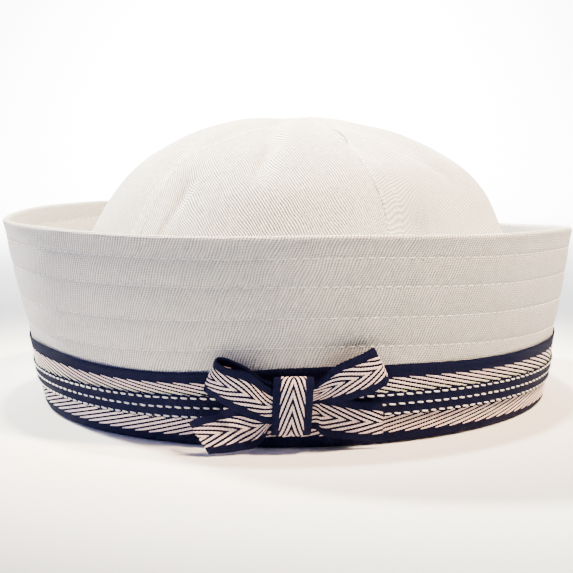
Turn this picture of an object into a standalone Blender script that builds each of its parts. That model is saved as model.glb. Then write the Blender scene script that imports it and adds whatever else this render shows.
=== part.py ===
"""A sailor cap of cotton twill: a soft crown sewn from four gores, a tall turned-up brim,
a wide herringbone ribbon with a narrow ribbon stitched along its middle, and a ribbon bow.

Units are metres and +Z is up. The cap stands on the foot of its brim at z = 0, its bow faces -Y,
and azimuths are measured from the bow towards +X. Shapes are worked out in millimetres.
"""
import math

import bmesh
import bpy
import numpy as np
from mathutils import Vector

for old in list(bpy.data.objects):
    bpy.data.objects.remove(old, do_unlink=True)

MM = 0.001

# Driving sizes, in millimetres
GAP = 0.3                 # left between pieces that touch
CROWN_WALL = 1.3
LAP_WIDTH = 6.0           # flat-felled seam of the crown
LAP_RISE = 0.45
BRIM_WALL = 2.2           # two layers of twill, turned over at the rim
RIM_BEAD = 0.25           # how far the rolled rim edge stands out
RIM_DEPTH = 1.7
FOOT_RADIUS = 87.2        # inside of the hem that the cap stands on
FOOT_HEIGHT = 2.0
RIBBON_WALL = 0.8
RIBBON_FOOT = 0.5         # bottom edge of the wide ribbon above the floor
STRIPE_WALL = 0.5
STRIPE_WIDTH = 7.0
BOW_WALL = 0.7
BOW_OFF = 0.45            # the bow lies over the narrow ribbon
KNOT_WIDTH = 11.6
KNOT_WALL = 0.7
CENTRE = Vector((1.76, 0.28, 0.0))   # brings the middle of the outer box to the origin

# Outside of the brim around the cap: radii at the foot, at MID_HEIGHT and at the rim
MID_HEIGHT = 25.0
BRIM = [
    dict(azimuth=-180, foot=91.9, mid=96.2, rim=103.8, height=65.0),
    dict(azimuth=-145, foot=91.9, mid=96.4, rim=105.0, height=69.2),
    dict(azimuth=-110, foot=91.9, mid=96.8, rim=105.6, height=69.3),
    dict(azimuth=-82, foot=91.9, mid=97.0, rim=105.5, height=67.2),
    dict(azimuth=-50, foot=91.9, mid=96.9, rim=104.9, height=66.0),
    dict(azimuth=-20, foot=91.9, mid=96.5, rim=104.4, height=64.4),
    dict(azimuth=10, foot=91.9, mid=96.4, rim=104.3, height=64.1),
    dict(azimuth=35, foot=91.9, mid=96.3, rim=103.6, height=62.7),
    dict(azimuth=60, foot=92.1, mid=96.4, rim=102.8, height=62.0),
    dict(azimuth=90, foot=92.3, mid=96.4, rim=102.0, height=60.0),
    dict(azimuth=120, foot=92.1, mid=96.2, rim=102.0, height=58.5),
    dict(azimuth=150, foot=91.9, mid=96.1, rim=102.6, height=61.0),
]

# Top edge of the wide ribbon, which dips a little beside the bow
RIBBON_TOP = [
    dict(azimuth=-180, height=25.0),
    dict(azimuth=-90, height=25.2),
    dict(azimuth=-56, height=25.4),
    dict(azimuth=-40, height=23.4),
    dict(azimuth=-26, height=23.0),
    dict(azimuth=-13, height=24.0),
    dict(azimuth=2, height=25.4),
    dict(azimuth=18, height=25.1),
    dict(azimuth=40, height=23.8),
    dict(azimuth=66, height=23.9),
    dict(azimuth=110, height=24.6),
]

# Middle of the narrow ribbon above the floor, which wanders a little as it was sewn on
STRIPE_MIDDLE = [
    dict(azimuth=-180, height=12.6),
    dict(azimuth=-60, height=12.6),
    dict(azimuth=-45, height=12.3),
    dict(azimuth=-30, height=12.2),
    dict(azimuth=-14, height=12.8),
    dict(azimuth=18, height=13.0),
    dict(azimuth=34, height=12.4),
    dict(azimuth=46, height=11.9),
    dict(azimuth=64, height=11.3),
    dict(azimuth=110, height=11.9),
]

# Crown profile from its bottom edge to the apex; tilt is how far the outline moves towards +X
CROWN = [
    dict(radius=89.2, height=2.3, tilt=0.0),
    dict(radius=88.4, height=15.0, tilt=0.0),
    dict(radius=86.0, height=30.0, tilt=0.4),
    dict(radius=81.8, height=46.0, tilt=1.0),
    dict(radius=75.2, height=61.0, tilt=1.6),
    dict(radius=69.2, height=72.0, tilt=2.4),
    dict(radius=62.0, height=80.5, tilt=2.2),
    dict(radius=53.0, height=87.3, tilt=1.3),
    dict(radius=42.3, height=92.9, tilt=0.6),
    dict(radius=31.4, height=96.8, tilt=-1.6),
    dict(radius=20.5, height=99.6, tilt=-1.8),
    dict(radius=10.0, height=101.0, tilt=-0.8),
    dict(radius=0.0, height=101.4, tilt=0.0),
]

# Seams between the gores: azimuth low on the crown, at the shoulder and at the apex
SEAMS = [
    dict(low=-48, shoulder=-46, top=-8),
    dict(low=24, shoulder=23, top=36),
    dict(low=128, shoulder=130, top=130),
    dict(low=-142, shoulder=-140, top=-142),
]
SEAM_PINCH = 0.9          # the crown dips along each seam
SEAM_SPREAD = 5.0
GORE_PUFF = 0.9           # and swells between two seams

# Soft folds (rise above 0) and creases of the crown, as straight runs seen from above
FOLDS = [
    dict(x0=22, y0=-17, x1=53, y1=-32, width=5.0, rise=1.1),
    dict(x0=14, y0=-17, x1=51, y1=-41, width=3.2, rise=-1.0),
    dict(x0=17, y0=-27, x1=30, y1=-42, width=4.0, rise=0.8),
    dict(x0=-1, y0=-23, x1=-11, y1=-58, width=4.5, rise=-1.2),
    dict(x0=2, y0=-28, x1=-1, y1=-56, width=4.0, rise=0.7),
    dict(x0=27, y0=-68, x1=44, y1=-59, width=7.5, rise=-2.4),
    dict(x0=-40, y0=-53, x1=-36, y1=-58, width=7.0, rise=-1.3),
    dict(x0=-46, y0=-58, x1=-44, y1=-60, width=5.0, rise=0.8),
    dict(x0=-45, y0=-39, x1=-32, y1=-18, width=4.0, rise=-1.3),
    dict(x0=-20, y0=28, x1=-36, y1=54, width=6.0, rise=-0.8),
    dict(x0=30, y0=20, x1=58, y1=30, width=6.0, rise=-0.7),
]

# The bow's ribbon, as stations along its run: x to the side, distance out and height z of the
# ribbon's upper and lower edge
LOOP_LEFT = [
    dict(x_up=-1.8, out_up=3.10, z_up=21.0, x_low=-1.8, out_low=3.10, z_low=10.6),
    dict(x_up=-8.0, out_up=3.30, z_up=22.3, x_low=-8.4, out_low=3.40, z_low=10.6),
    dict(x_up=-14.0, out_up=2.40, z_up=26.4, x_low=-15.4, out_low=3.60, z_low=13.8),
    dict(x_up=-19.0, out_up=1.50, z_up=28.6, x_low=-22.4, out_low=2.00, z_low=17.4),
    dict(x_up=-22.0, out_up=1.90, z_up=29.2, x_low=-26.0, out_low=1.80, z_low=18.8),
    dict(x_up=-22.6, out_up=3.20, z_up=28.6, x_low=-26.7, out_low=3.00, z_low=18.9),
    dict(x_up=-21.6, out_up=4.70, z_up=27.6, x_low=-25.6, out_low=4.30, z_low=18.2),
    dict(x_up=-18.4, out_up=5.90, z_up=26.4, x_low=-21.6, out_low=5.30, z_low=15.8),
    dict(x_up=-13.0, out_up=6.20, z_up=25.2, x_low=-15.6, out_low=5.50, z_low=12.6),
    dict(x_up=-7.6, out_up=4.60, z_up=20.8, x_low=-8.4, out_low=4.40, z_low=9.4),
    dict(x_up=-1.8, out_up=4.20, z_up=19.8, x_low=-1.8, out_low=4.10, z_low=9.6),
]
LOOP_RIGHT = [
    dict(x_up=-0.2, out_up=3.10, z_up=20.6, x_low=-0.2, out_low=3.10, z_low=14.4),
    dict(x_up=6.0, out_up=3.20, z_up=22.1, x_low=6.4, out_low=3.40, z_low=15.4),
    dict(x_up=12.0, out_up=2.20, z_up=26.6, x_low=14.0, out_low=3.40, z_low=16.2),
    dict(x_up=18.6, out_up=1.50, z_up=29.3, x_low=22.2, out_low=2.00, z_low=18.8),
    dict(x_up=21.6, out_up=1.90, z_up=30.9, x_low=26.2, out_low=1.80, z_low=20.7),
    dict(x_up=22.5, out_up=3.20, z_up=31.6, x_low=27.2, out_low=3.00, z_low=21.2),
    dict(x_up=21.8, out_up=4.70, z_up=31.4, x_low=26.2, out_low=4.30, z_low=20.0),
    dict(x_up=18.0, out_up=5.80, z_up=29.9, x_low=21.2, out_low=5.20, z_low=17.8),
    dict(x_up=12.0, out_up=6.00, z_up=27.4, x_low=13.6, out_low=5.40, z_low=16.1),
    dict(x_up=5.8, out_up=4.60, z_up=21.4, x_low=6.0, out_low=4.55, z_low=15.4),
    dict(x_up=-0.2, out_up=4.20, z_up=20.0, x_low=-0.2, out_low=4.20, z_low=14.4),
]
TAIL_LEFT = [
    dict(x_up=-1.8, out_up=2.10, z_up=14.2, x_low=-1.8, out_low=2.10, z_low=7.6),
    dict(x_up=-7.0, out_up=2.10, z_up=13.2, x_low=-7.3, out_low=2.20, z_low=7.2),
    dict(x_up=-9.4, out_up=2.20, z_up=13.4, x_low=-9.0, out_low=2.60, z_low=4.6),
    dict(x_up=-13.0, out_up=2.30, z_up=13.8, x_low=-11.6, out_low=3.90, z_low=2.0),
    dict(x_up=-18.0, out_up=3.20, z_up=14.0, x_low=-15.6, out_low=5.80, z_low=1.3),
    dict(x_up=-24.6, out_up=6.20, z_up=12.6, x_low=-20.4, out_low=7.90, z_low=1.0),
    dict(x_up=-31.2, out_up=8.80, z_up=10.4, x_low=-25.4, out_low=9.80, z_low=0.9),
]
TAIL_RIGHT = [
    dict(x_up=-0.2, out_up=2.10, z_up=17.2, x_low=-0.2, out_low=2.10, z_low=7.2),
    dict(x_up=5.4, out_up=2.15, z_up=17.6, x_low=5.4, out_low=2.15, z_low=7.0),
    dict(x_up=7.8, out_up=2.00, z_up=17.3, x_low=7.6, out_low=1.85, z_low=5.0),
    dict(x_up=12.0, out_up=2.40, z_up=16.5, x_low=11.8, out_low=2.20, z_low=4.0),
    dict(x_up=19.0, out_up=2.90, z_up=15.2, x_low=18.8, out_low=2.60, z_low=2.8),
    dict(x_up=25.4, out_up=3.20, z_up=14.4, x_low=25.6, out_low=2.80, z_low=2.2),
]

# The knot is a turn of the same ribbon around the bow, as a section seen from the side
KNOT_SECTION = [
    dict(out=0.75, z=7.2), dict(out=0.75, z=14.4), dict(out=0.75, z=21.6),
    dict(out=1.60, z=23.0), dict(out=3.20, z=23.4), dict(out=5.00, z=23.0),
    dict(out=6.30, z=21.4), dict(out=6.70, z=17.9), dict(out=6.60, z=14.2),
    dict(out=6.30, z=10.3), dict(out=5.70, z=7.2), dict(out=4.40, z=5.7),
    dict(out=2.90, z=5.4), dict(out=1.50, z=5.9),
]
KNOT_CENTRE = -1.0
KNOT_LEAN = 0.06          # the knot leans to the right towards its top

# Facets
AROUND = 90
GORE_ROWS = 15
GORE_COLUMNS = 14
BOW_STEPS = 30

COLOURS = dict(
    twill=(0.86, 0.83, 0.80), ribbon=(0.52, 0.42, 0.44), navy=(0.012, 0.016, 0.06),
)


def material(name, colour, roughness):
    """A plain cloth material."""
    mat = bpy.data.materials.new(name)
    mat.use_nodes = True
    shader = mat.node_tree.nodes["Principled BSDF"]
    shader.inputs["Base Color"].default_value = (*colour, 1.0)
    shader.inputs["Roughness"].default_value = roughness
    shader.inputs["Metallic"].default_value = 0.0
    return mat


TWILL = material("white_twill", COLOURS["twill"], 0.85)
RIBBON = material("herringbone_ribbon", COLOURS["ribbon"], 0.75)
NAVY = material("navy_ribbon", COLOURS["navy"], 0.8)


def curve(xs, ys, x):
    """Smooth value at x of a curve through the points xs, ys (cubic Hermite)."""
    xs, ys = np.asarray(xs, float), np.asarray(ys, float)
    slopes = np.gradient(ys, xs)
    x = np.clip(x, xs[0], xs[-1])
    i = int(np.clip(np.searchsorted(xs, x) - 1, 0, len(xs) - 2))
    h = xs[i + 1] - xs[i]
    t = (x - xs[i]) / h
    return ((1 + 2 * t) * (1 - t) ** 2 * ys[i] + t * (1 - t) ** 2 * h * slopes[i]
            + t * t * (3 - 2 * t) * ys[i + 1] + t * t * (t - 1) * h * slopes[i + 1])


def around(table, column, azimuth):
    """Smooth value of a table's column at an azimuth in degrees, running on past +-180."""
    rows = sorted(table, key=lambda row: row["azimuth"])
    xs = [row["azimuth"] for row in rows]
    ys = [row[column] for row in rows]
    xs = [x - 360 for x in xs] + xs + [x + 360 for x in xs]
    return curve(xs, ys * 3, (azimuth + 180) % 360 - 180)


def along(table, column, t):
    """Smooth value of a table's column at t from 0 (first row) to 1 (last row)."""
    return curve(range(len(table)), [row[column] for row in table], t * (len(table) - 1))


def polar(radius, azimuth, z):
    """Point at a radius and an azimuth in degrees."""
    a = math.radians(azimuth)
    return Vector((radius * math.sin(a), -radius * math.cos(a), z))


def solid(name, columns, rows, place, mat, close_u=False, close_v=False, wall=0.0, sharp=40):
    """A sheet made from a grid whose point (u, v), each 0 to 1, goes to place(u, v).

    close_u and close_v join opposite edges, and a wall above 0 thickens the sheet inwards.
    """
    bm = bmesh.new()
    bmesh.ops.create_grid(bm, x_segments=columns, y_segments=rows, size=1.0)
    for vert in bm.verts:
        u, v = (vert.co.x + 1) / 2, (vert.co.y + 1) / 2
        u = 0.0 if close_u and u > 1 - 1e-4 else u
        v = 0.0 if close_v and v > 1 - 1e-4 else v
        vert.co = (place(u, v) + CENTRE) * MM
    bmesh.ops.remove_doubles(bm, verts=bm.verts, dist=1e-6)
    if close_u and close_v:
        bmesh.ops.recalc_face_normals(bm, faces=bm.faces)
    mesh = bpy.data.meshes.new(name)
    bm.to_mesh(mesh)
    bm.free()
    mesh.materials.append(mat)
    mesh.shade_smooth()
    mesh.set_sharp_from_angle(angle=math.radians(sharp))
    ob = bpy.data.objects.new(name, mesh)
    bpy.context.scene.collection.objects.link(ob)
    if wall:
        thick = ob.modifiers.new("wall", "SOLIDIFY")
        thick.thickness = wall * MM
        thick.offset = -1.0
        thick.use_even_offset = False
    return ob


def brim_outside(azimuth, z):
    """Radius of the brim's outside at a height."""
    foot, mid, rim = (around(BRIM, c, azimuth) for c in ("foot", "mid", "rim"))
    height = around(BRIM, "height", azimuth)
    if z <= MID_HEIGHT:
        return foot + (mid - foot) * z / MID_HEIGHT
    t = (z - MID_HEIGHT) / (height - MID_HEIGHT)
    return mid + (rim - mid) * t + 0.5 * math.sin(math.pi * min(t, 1.0))


def brim_section():
    """Steps around the brim's section: side, share of its height, inset from the outside, rise.

    It goes up the outside, over the rolled rim, down the inside and under the foot.
    """
    steps = [("out", 0.0, 1.6, 0.0), ("out", 0.0, 0.5, 0.35), ("out", 0.0, 0.0, 1.5)]
    steps += [("out", f, 0.0, 0.0) for f in (0.17, 0.38, 0.58, 0.76, 0.90)]
    steps += [("rim", 0.0, 0.0, -RIM_DEPTH - 0.5), ("rim", 0.0, -RIM_BEAD, -RIM_DEPTH * 0.6),
              ("rim", 0.0, 0.35, -0.25), ("rim", 0.0, BRIM_WALL / 2, 0.0),
              ("rim", 0.0, BRIM_WALL - 0.35, -0.25),
              ("rim", 0.0, BRIM_WALL + RIM_BEAD, -RIM_DEPTH * 0.6),
              ("rim", 0.0, BRIM_WALL, -RIM_DEPTH - 0.5)]
    steps += [("out", f, BRIM_WALL, 0.0) for f in (0.76, 0.50, 0.25, 0.10)]
    steps += [("foot", 0.0, 2.7, FOOT_HEIGHT), ("foot", 0.0, 0.0, FOOT_HEIGHT - 0.5),
              ("foot", 0.0, 0.0, 0.6), ("foot", 0.0, 0.6, 0.0)]
    return steps


SECTION = brim_section()


def brim_point(u, v):
    """Point of the brim: u around the cap, v around its section."""
    azimuth = 360 * u - 180
    side, share, inset, rise = SECTION[round(v * len(SECTION)) % len(SECTION)]
    height = around(BRIM, "height", azimuth)
    if side == "foot":
        return polar(FOOT_RADIUS + inset, azimuth, rise)
    z = height + rise if side == "rim" else height * share + rise
    return polar(brim_outside(azimuth, z) - inset, azimuth, z)


def ribbon_face(azimuth, z):
    """Radius of the wide ribbon's outer face."""
    return brim_outside(azimuth, z) + GAP + RIBBON_WALL


def ribbon_point(u, v):
    """Point of the wide ribbon: the section's corners run up the face and down the back."""
    azimuth = 360 * u - 180
    top = around(RIBBON_TOP, "height", azimuth)
    share, face = ((0.0, 1), (0.5, 1), (1.0, 1), (1.0, 0), (0.5, 0), (0.0, 0))[round(v * 6) % 6]
    z = RIBBON_FOOT + (top - RIBBON_FOOT) * share
    return polar(ribbon_face(azimuth, z) - (0 if face else RIBBON_WALL), azimuth, z)


def stripe_point(u, v):
    """Point of the narrow ribbon, along the middle of the wide one."""
    azimuth = 360 * u - 180
    share, face = ((-0.5, 1), (0.5, 1), (0.5, 0), (-0.5, 0))[round(v * 4) % 4]
    z = around(STRIPE_MIDDLE, "height", azimuth) + STRIPE_WIDTH * share
    return polar(ribbon_face(azimuth, z) + GAP + (STRIPE_WALL if face else 0), azimuth, z)


def seam_azimuth(seam, t):
    """Azimuth of a seam at t from the crown's bottom edge (0) to the apex (1)."""
    return curve([0.0, 0.35, 0.6, 0.85, 1.0],
                 [seam["low"], seam["low"], seam["shoulder"], seam["top"], seam["top"]], t)


def crown_surface(azimuth, t, depth=0.0):
    """Outside of the crown, moved in or out by its pinches, puffs, folds and creases."""
    radius, z = along(CROWN, "radius", t), along(CROWN, "height", t)
    low, high = along(CROWN, "radius", t - 0.01), along(CROWN, "radius", t + 0.01)
    z_low, z_high = along(CROWN, "height", t - 0.01), along(CROWN, "height", t + 0.01)
    out = Vector((z_high - z_low, low - high)).normalized()
    spans = [abs((azimuth - seam_azimuth(s, t) + 180) % 360 - 180) for s in SEAMS]
    near = max(radius, 0.0) * math.sin(math.radians(min(min(spans), 90)))
    show = min(1.0, max(0.0, (t - 0.15) / 0.3)) * min(1.0, radius / 18)
    move = -SEAM_PINCH * math.exp(-(near / SEAM_SPREAD) ** 2) * show
    move += GORE_PUFF * math.sin(math.pi * min(min(spans) / 90, 1.0)) * show
    base = polar(radius, azimuth, z)
    for fold in FOLDS:
        a, b = Vector((fold["x0"], fold["y0"])), Vector((fold["x1"], fold["y1"]))
        p, run = Vector(base[:2]), b - a
        share = min(1.0, max(0.0, (p - a).dot(run) / run.length_squared))
        away = (p - a - run * share).length
        fade = 0.35 + 0.65 * math.sin(math.pi * (0.08 + 0.84 * share))
        move += fold["rise"] * fade * math.exp(-(away / fold["width"]) ** 2) * min(1.0, t * 3)
    move -= depth
    point = polar(radius + out.x * move, azimuth, z + out.y * move)
    point.x += along(CROWN, "tilt", t)
    return point


def gore(name, first, last):
    """One gore between two seams, with the felled seam's lap along its first edge."""
    def place(u, v):
        t = curve([0, 0.5, 0.8, 1], [0, 0.62, 0.88, 1], v) if v < 1 else 1.0
        start, end = seam_azimuth(first, t), seam_azimuth(last, t)
        end += 360 if end < start else 0
        radius = along(CROWN, "radius", t)
        tip = GAP / 2 / math.sin(math.radians(end - start) / 2)
        if radius <= tip:
            t = 1 - 1e-4
            at = crown_surface((start + end) / 2, 1.0)
            return at + polar(tip, (start + end) / 2, 0)
        edge = math.degrees(math.asin(GAP / 2 / radius))
        width = end - start - 2 * edge
        lap = min(math.degrees(LAP_WIDTH / radius), 0.34 * width) / width
        step = lap * 1.12
        column = round(u * GORE_COLUMNS)
        share = (0, lap / 2, lap, step)[column] if column < 4 else (
            step + (1 - step) * (column - 3) / (GORE_COLUMNS - 3))
        lift = LAP_RISE if column < 3 else 0.0
        return crown_surface(start + edge + width * share, t, -lift * min(1, radius / 12))
    return solid(name, GORE_COLUMNS, GORE_ROWS, place, TWILL, wall=CROWN_WALL)


def bow_place(x, out, z):
    """Point at x beside the middle and at a distance out from the wide ribbon's face."""
    azimuth = math.degrees(math.asin(x / (ribbon_face(0, z) + out)))
    return polar(ribbon_face(azimuth, z) + BOW_OFF + out, azimuth, z)


def bow_ribbon(name, table):
    """A run of the bow's ribbon between its upper and lower edges."""
    def middle(t, w):
        up = bow_place(*(along(table, c + "_up", t) for c in ("x", "out", "z")))
        low = bow_place(*(along(table, c + "_low", t) for c in ("x", "out", "z")))
        return low.lerp(up, w)

    faces = [(0.0, 1), (0.33, 1), (0.67, 1), (1.0, 1), (1.0, -1), (0.67, -1), (0.33, -1), (0.0, -1)]

    def place(u, v):
        w, side = faces[round(v * 8) % 8]
        e = 0.004
        run = middle(min(u + e, 1), w) - middle(max(u - e, 0), w)
        across = middle(u, 1) - middle(u, 0)
        normal = run.cross(across).normalized()
        return middle(u, w) + normal * side * BOW_WALL / 2

    ob = solid(name, BOW_STEPS, 8, place, RIBBON, close_v=True)
    bm = bmesh.new()
    bm.from_mesh(ob.data)
    bmesh.ops.holes_fill(bm, edges=[e for e in bm.edges if e.is_boundary], sides=0)
    bmesh.ops.recalc_face_normals(bm, faces=bm.faces)
    bm.to_mesh(ob.data)
    bm.free()
    return ob


def knot():
    """The turn of ribbon that holds the bow together."""
    count = len(KNOT_SECTION)
    middle_out = sum(r["out"] for r in KNOT_SECTION) / count
    middle_z = sum(r["z"] for r in KNOT_SECTION) / count
    columns = 6

    def place(u, v):
        row = KNOT_SECTION[round(u * count) % count]
        before, after = (KNOT_SECTION[(round(u * count) + k) % count] for k in (-1, 1))
        run = Vector((after["out"] - before["out"], after["z"] - before["z"])).normalized()
        inward = Vector((run.y, -run.x))
        if inward.dot(Vector((middle_out - row["out"], middle_z - row["z"]))) < 0:
            inward = -inward
        k = round(v * 2 * columns) % (2 * columns)
        across = (k if k < columns else 2 * columns - 1 - k) / (columns - 1)
        inset = 0.0 if k < columns else KNOT_WALL
        # the ribbon is rounded a little towards its two edges
        inset += 0.5 * abs(2 * across - 1) ** 3 * (1 if row["out"] > 4 else 0)
        out, z = row["out"] + inward.x * inset, row["z"] + inward.y * inset
        x = KNOT_CENTRE + KNOT_WIDTH * (across - 0.5) + KNOT_LEAN * (z - middle_z)
        return bow_place(x, out, z)

    return solid("bow_knot", count, 2 * columns, place, RIBBON, close_u=True, close_v=True)


solid("brim", AROUND, len(SECTION), brim_point, TWILL, close_u=True, close_v=True)
for number, seam in enumerate(SEAMS):
    following = SEAMS[(number + 1) % len(SEAMS)]
    side = ("front", "right", "back", "left")[number]
    gore(f"crown_{side}", seam, following)
solid("band_ribbon", AROUND, 6, ribbon_point, RIBBON, close_u=True, close_v=True)
solid("band_stripe", AROUND, 4, stripe_point, NAVY, close_u=True, close_v=True)
bow_ribbon("bow_loop_left", LOOP_LEFT)
bow_ribbon("bow_loop_right", LOOP_RIGHT)
bow_ribbon("bow_tail_left", TAIL_LEFT)
bow_ribbon("bow_tail_right", TAIL_RIGHT)
knot()
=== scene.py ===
"""Sailor cap: cotton twill crown and turned-up brim, herringbone ribbon and ribbon bow.

The pieces are laid in millimetres around the axis of the cap's foot and scaled to metres at the
end. An azimuth is in degrees from the bow, which faces -Y, towards +X.
"""
import math

import bmesh
import bpy
import numpy as np
from bpy.props import FloatProperty, FloatVectorProperty, IntProperty, PointerProperty
from mathutils import Matrix, Vector


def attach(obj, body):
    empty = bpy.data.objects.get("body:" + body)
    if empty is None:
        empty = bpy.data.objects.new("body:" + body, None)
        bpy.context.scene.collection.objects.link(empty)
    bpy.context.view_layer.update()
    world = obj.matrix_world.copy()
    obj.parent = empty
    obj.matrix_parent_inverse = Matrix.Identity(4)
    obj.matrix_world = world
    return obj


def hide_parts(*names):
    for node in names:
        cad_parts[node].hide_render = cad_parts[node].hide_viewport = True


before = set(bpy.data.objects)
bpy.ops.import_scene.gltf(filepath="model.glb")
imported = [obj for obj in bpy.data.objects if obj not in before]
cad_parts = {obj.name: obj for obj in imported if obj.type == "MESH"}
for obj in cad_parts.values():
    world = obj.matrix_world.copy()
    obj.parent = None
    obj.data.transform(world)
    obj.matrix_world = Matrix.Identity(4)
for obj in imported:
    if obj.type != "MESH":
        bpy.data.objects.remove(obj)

bl_info = {
    "name": "Sailor Cap",
    "version": (1, 0, 0),
    "blender": (4, 5, 0),
    "location": "3D View > Sidebar > Sailor Cap",
    "description": "Builds a cotton sailor cap with a ribbon bow",
    "category": "Object",
}


def table(columns, *rows):
    """A short table with named columns, each row as a dict."""
    return [dict(zip(columns.split(), row)) for row in rows]


MM = 0.001
CENTRE = np.array([1.76, 0.28, 0.0])   # the foot's axis in the part's own frame

# Sizes shared with the solids, in millimetres
CROWN_WALL = 1.3
BRIM_WALL = 2.2
INNER_SHARE = -0.8        # the brim's inner face follows the outer one's relief by this much
FOOT_HEIGHT = 2.0
RIBBON_FOOT = 0.5
RIBBON_STEP = 1.1         # from the brim to the wide ribbon's face
BOW_OFF = 0.45
MID_HEIGHT = 25.0
RUN_RADIUS = 100.0        # runs along the brim's stitches are measured at this radius

# Outside of the brim around the cap: radii at the foot, at MID_HEIGHT and at the rim
BRIM = table(
    "azimuth foot mid rim height",
    (-180, 91.9, 96.2, 103.8, 65.0),
    (-145, 91.9, 96.4, 105.0, 69.2),
    (-110, 91.9, 96.8, 105.6, 69.3),
    (-82, 91.9, 97.0, 105.5, 67.2),
    (-50, 91.9, 96.9, 104.9, 66.0),
    (-20, 91.9, 96.5, 104.4, 64.4),
    (10, 91.9, 96.4, 104.3, 64.1),
    (35, 91.9, 96.3, 103.6, 62.7),
    (60, 92.1, 96.4, 102.8, 62.0),
    (90, 92.3, 96.4, 102.0, 60.0),
    (120, 92.1, 96.2, 102.0, 58.5),
    (150, 91.9, 96.1, 102.6, 61.0))

# Top edge of the wide ribbon
RIBBON_TOP = table(
    "azimuth height",
    (-180, 25.0), (-90, 25.2), (-56, 25.4), (-40, 23.4), (-26, 23.0), (-13, 24.0), (2, 25.4),
    (18, 25.1), (40, 23.8), (66, 23.9), (110, 24.6))

# Middle of the narrow ribbon
STRIPE_MIDDLE = table(
    "azimuth height",
    (-180, 12.6), (-60, 12.6), (-45, 12.3), (-30, 12.2), (-14, 12.8), (18, 13.0), (34, 12.4),
    (46, 11.9), (64, 11.3), (110, 11.9))

# Crown profile from its bottom edge to the apex; tilt moves the outline towards +X
CROWN = table(
    "radius height tilt",
    (89.2, 2.3, 0.0),
    (88.4, 15.0, 0.0),
    (86.0, 30.0, 0.4),
    (81.8, 46.0, 1.0),
    (75.2, 61.0, 1.6),
    (69.2, 72.0, 2.4),
    (62.0, 80.5, 2.2),
    (53.0, 87.3, 1.3),
    (42.3, 92.9, 0.6),
    (31.4, 96.8, -1.6),
    (20.5, 99.6, -1.8),
    (10.0, 101.0, -0.8),
    (0.0, 101.4, 0.0))

# Seams between the gores: azimuth low on the crown, at the shoulder and at the apex
SEAMS = table(
    "low shoulder top",
    (-48, -46, -8),
    (24, 23, 36),
    (128, 130, 130),
    (-142, -140, -142))
SEAM_PINCH = 0.9
SEAM_SPREAD = 5.0
GORE_PUFF = 0.9
LAP_WIDTH = 6.0
LAP_RISE = 0.45

# Soft folds (rise above 0) and creases of the crown, as straight runs seen from above
FOLDS = table(
    "x0 y0 x1 y1 width rise",
    (22, -17, 53, -32, 5.0, 1.1),
    (14, -17, 51, -41, 3.2, -1.0),
    (17, -27, 30, -42, 4.0, 0.8),
    (-1, -23, -11, -58, 4.5, -1.2),
    (2, -28, -1, -56, 4.0, 0.7),
    (27, -68, 44, -59, 7.5, -2.4),
    (-40, -53, -36, -58, 7.0, -1.3),
    (-46, -58, -44, -60, 5.0, 0.8),
    (-45, -39, -32, -18, 4.0, -1.3),
    (-20, 28, -36, 54, 6.0, -0.8),
    (30, 20, 58, 30, 6.0, -0.7))

FOLD_DEPTH = 1.3          # the cloth's folds are a little deeper than the solids'
DEEP_FOLDS = [{**row, "rise": row["rise"] * FOLD_DEPTH} for row in FOLDS]

# Fine pressed creases, left out of the solids
CREASES = table(
    "x0 y0 x1 y1 width rise",
    (12, -13, 20, -29, 1.6, -0.99),
    (20, -29, 36, -38, 1.5, -1.1),
    (36, -38, 50, -38, 1.6, -0.88),
    (13, -22, 17, -37, 1.5, -0.99),
    (17, -37, 25, -49, 1.7, -1.1),
    (-3, -20, -7, -46, 2.0, -1.1),
    (-7, -46, -13, -60, 2.2, -1.1),
    (-33, -14, -40, -31, 1.8, -1.1),
    (-40, -31, -46, -45, 2.0, -0.99),
    (-11, -24, -27, -33, 2.2, -0.6),
    (-36, -50, -41, -58, 2.6, -1.1),
    (30, -70, 45, -62, 5.0, -2.4))

# Topstitch rows of the brim, as distances below the rim
BRIM_ROWS = ("first", "second", "third", "fourth")
ROW_DEPTHS = table(
    "azimuth first second third fourth",
    (-180, 6.8, 15.4, 25.0, 34.2),
    (-90, 7.0, 15.8, 26.0, 35.8),
    (-40, 6.9, 15.6, 26.2, 36.0),
    (-28, 6.7, 15.2, 25.5, 35.2),
    (-10, 6.6, 14.8, 24.3, 33.2),
    (20, 6.6, 15.1, 24.2, 33.0),
    (45, 7.0, 15.7, 24.7, 34.2),
    (90, 7.0, 15.8, 25.2, 34.6))

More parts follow.
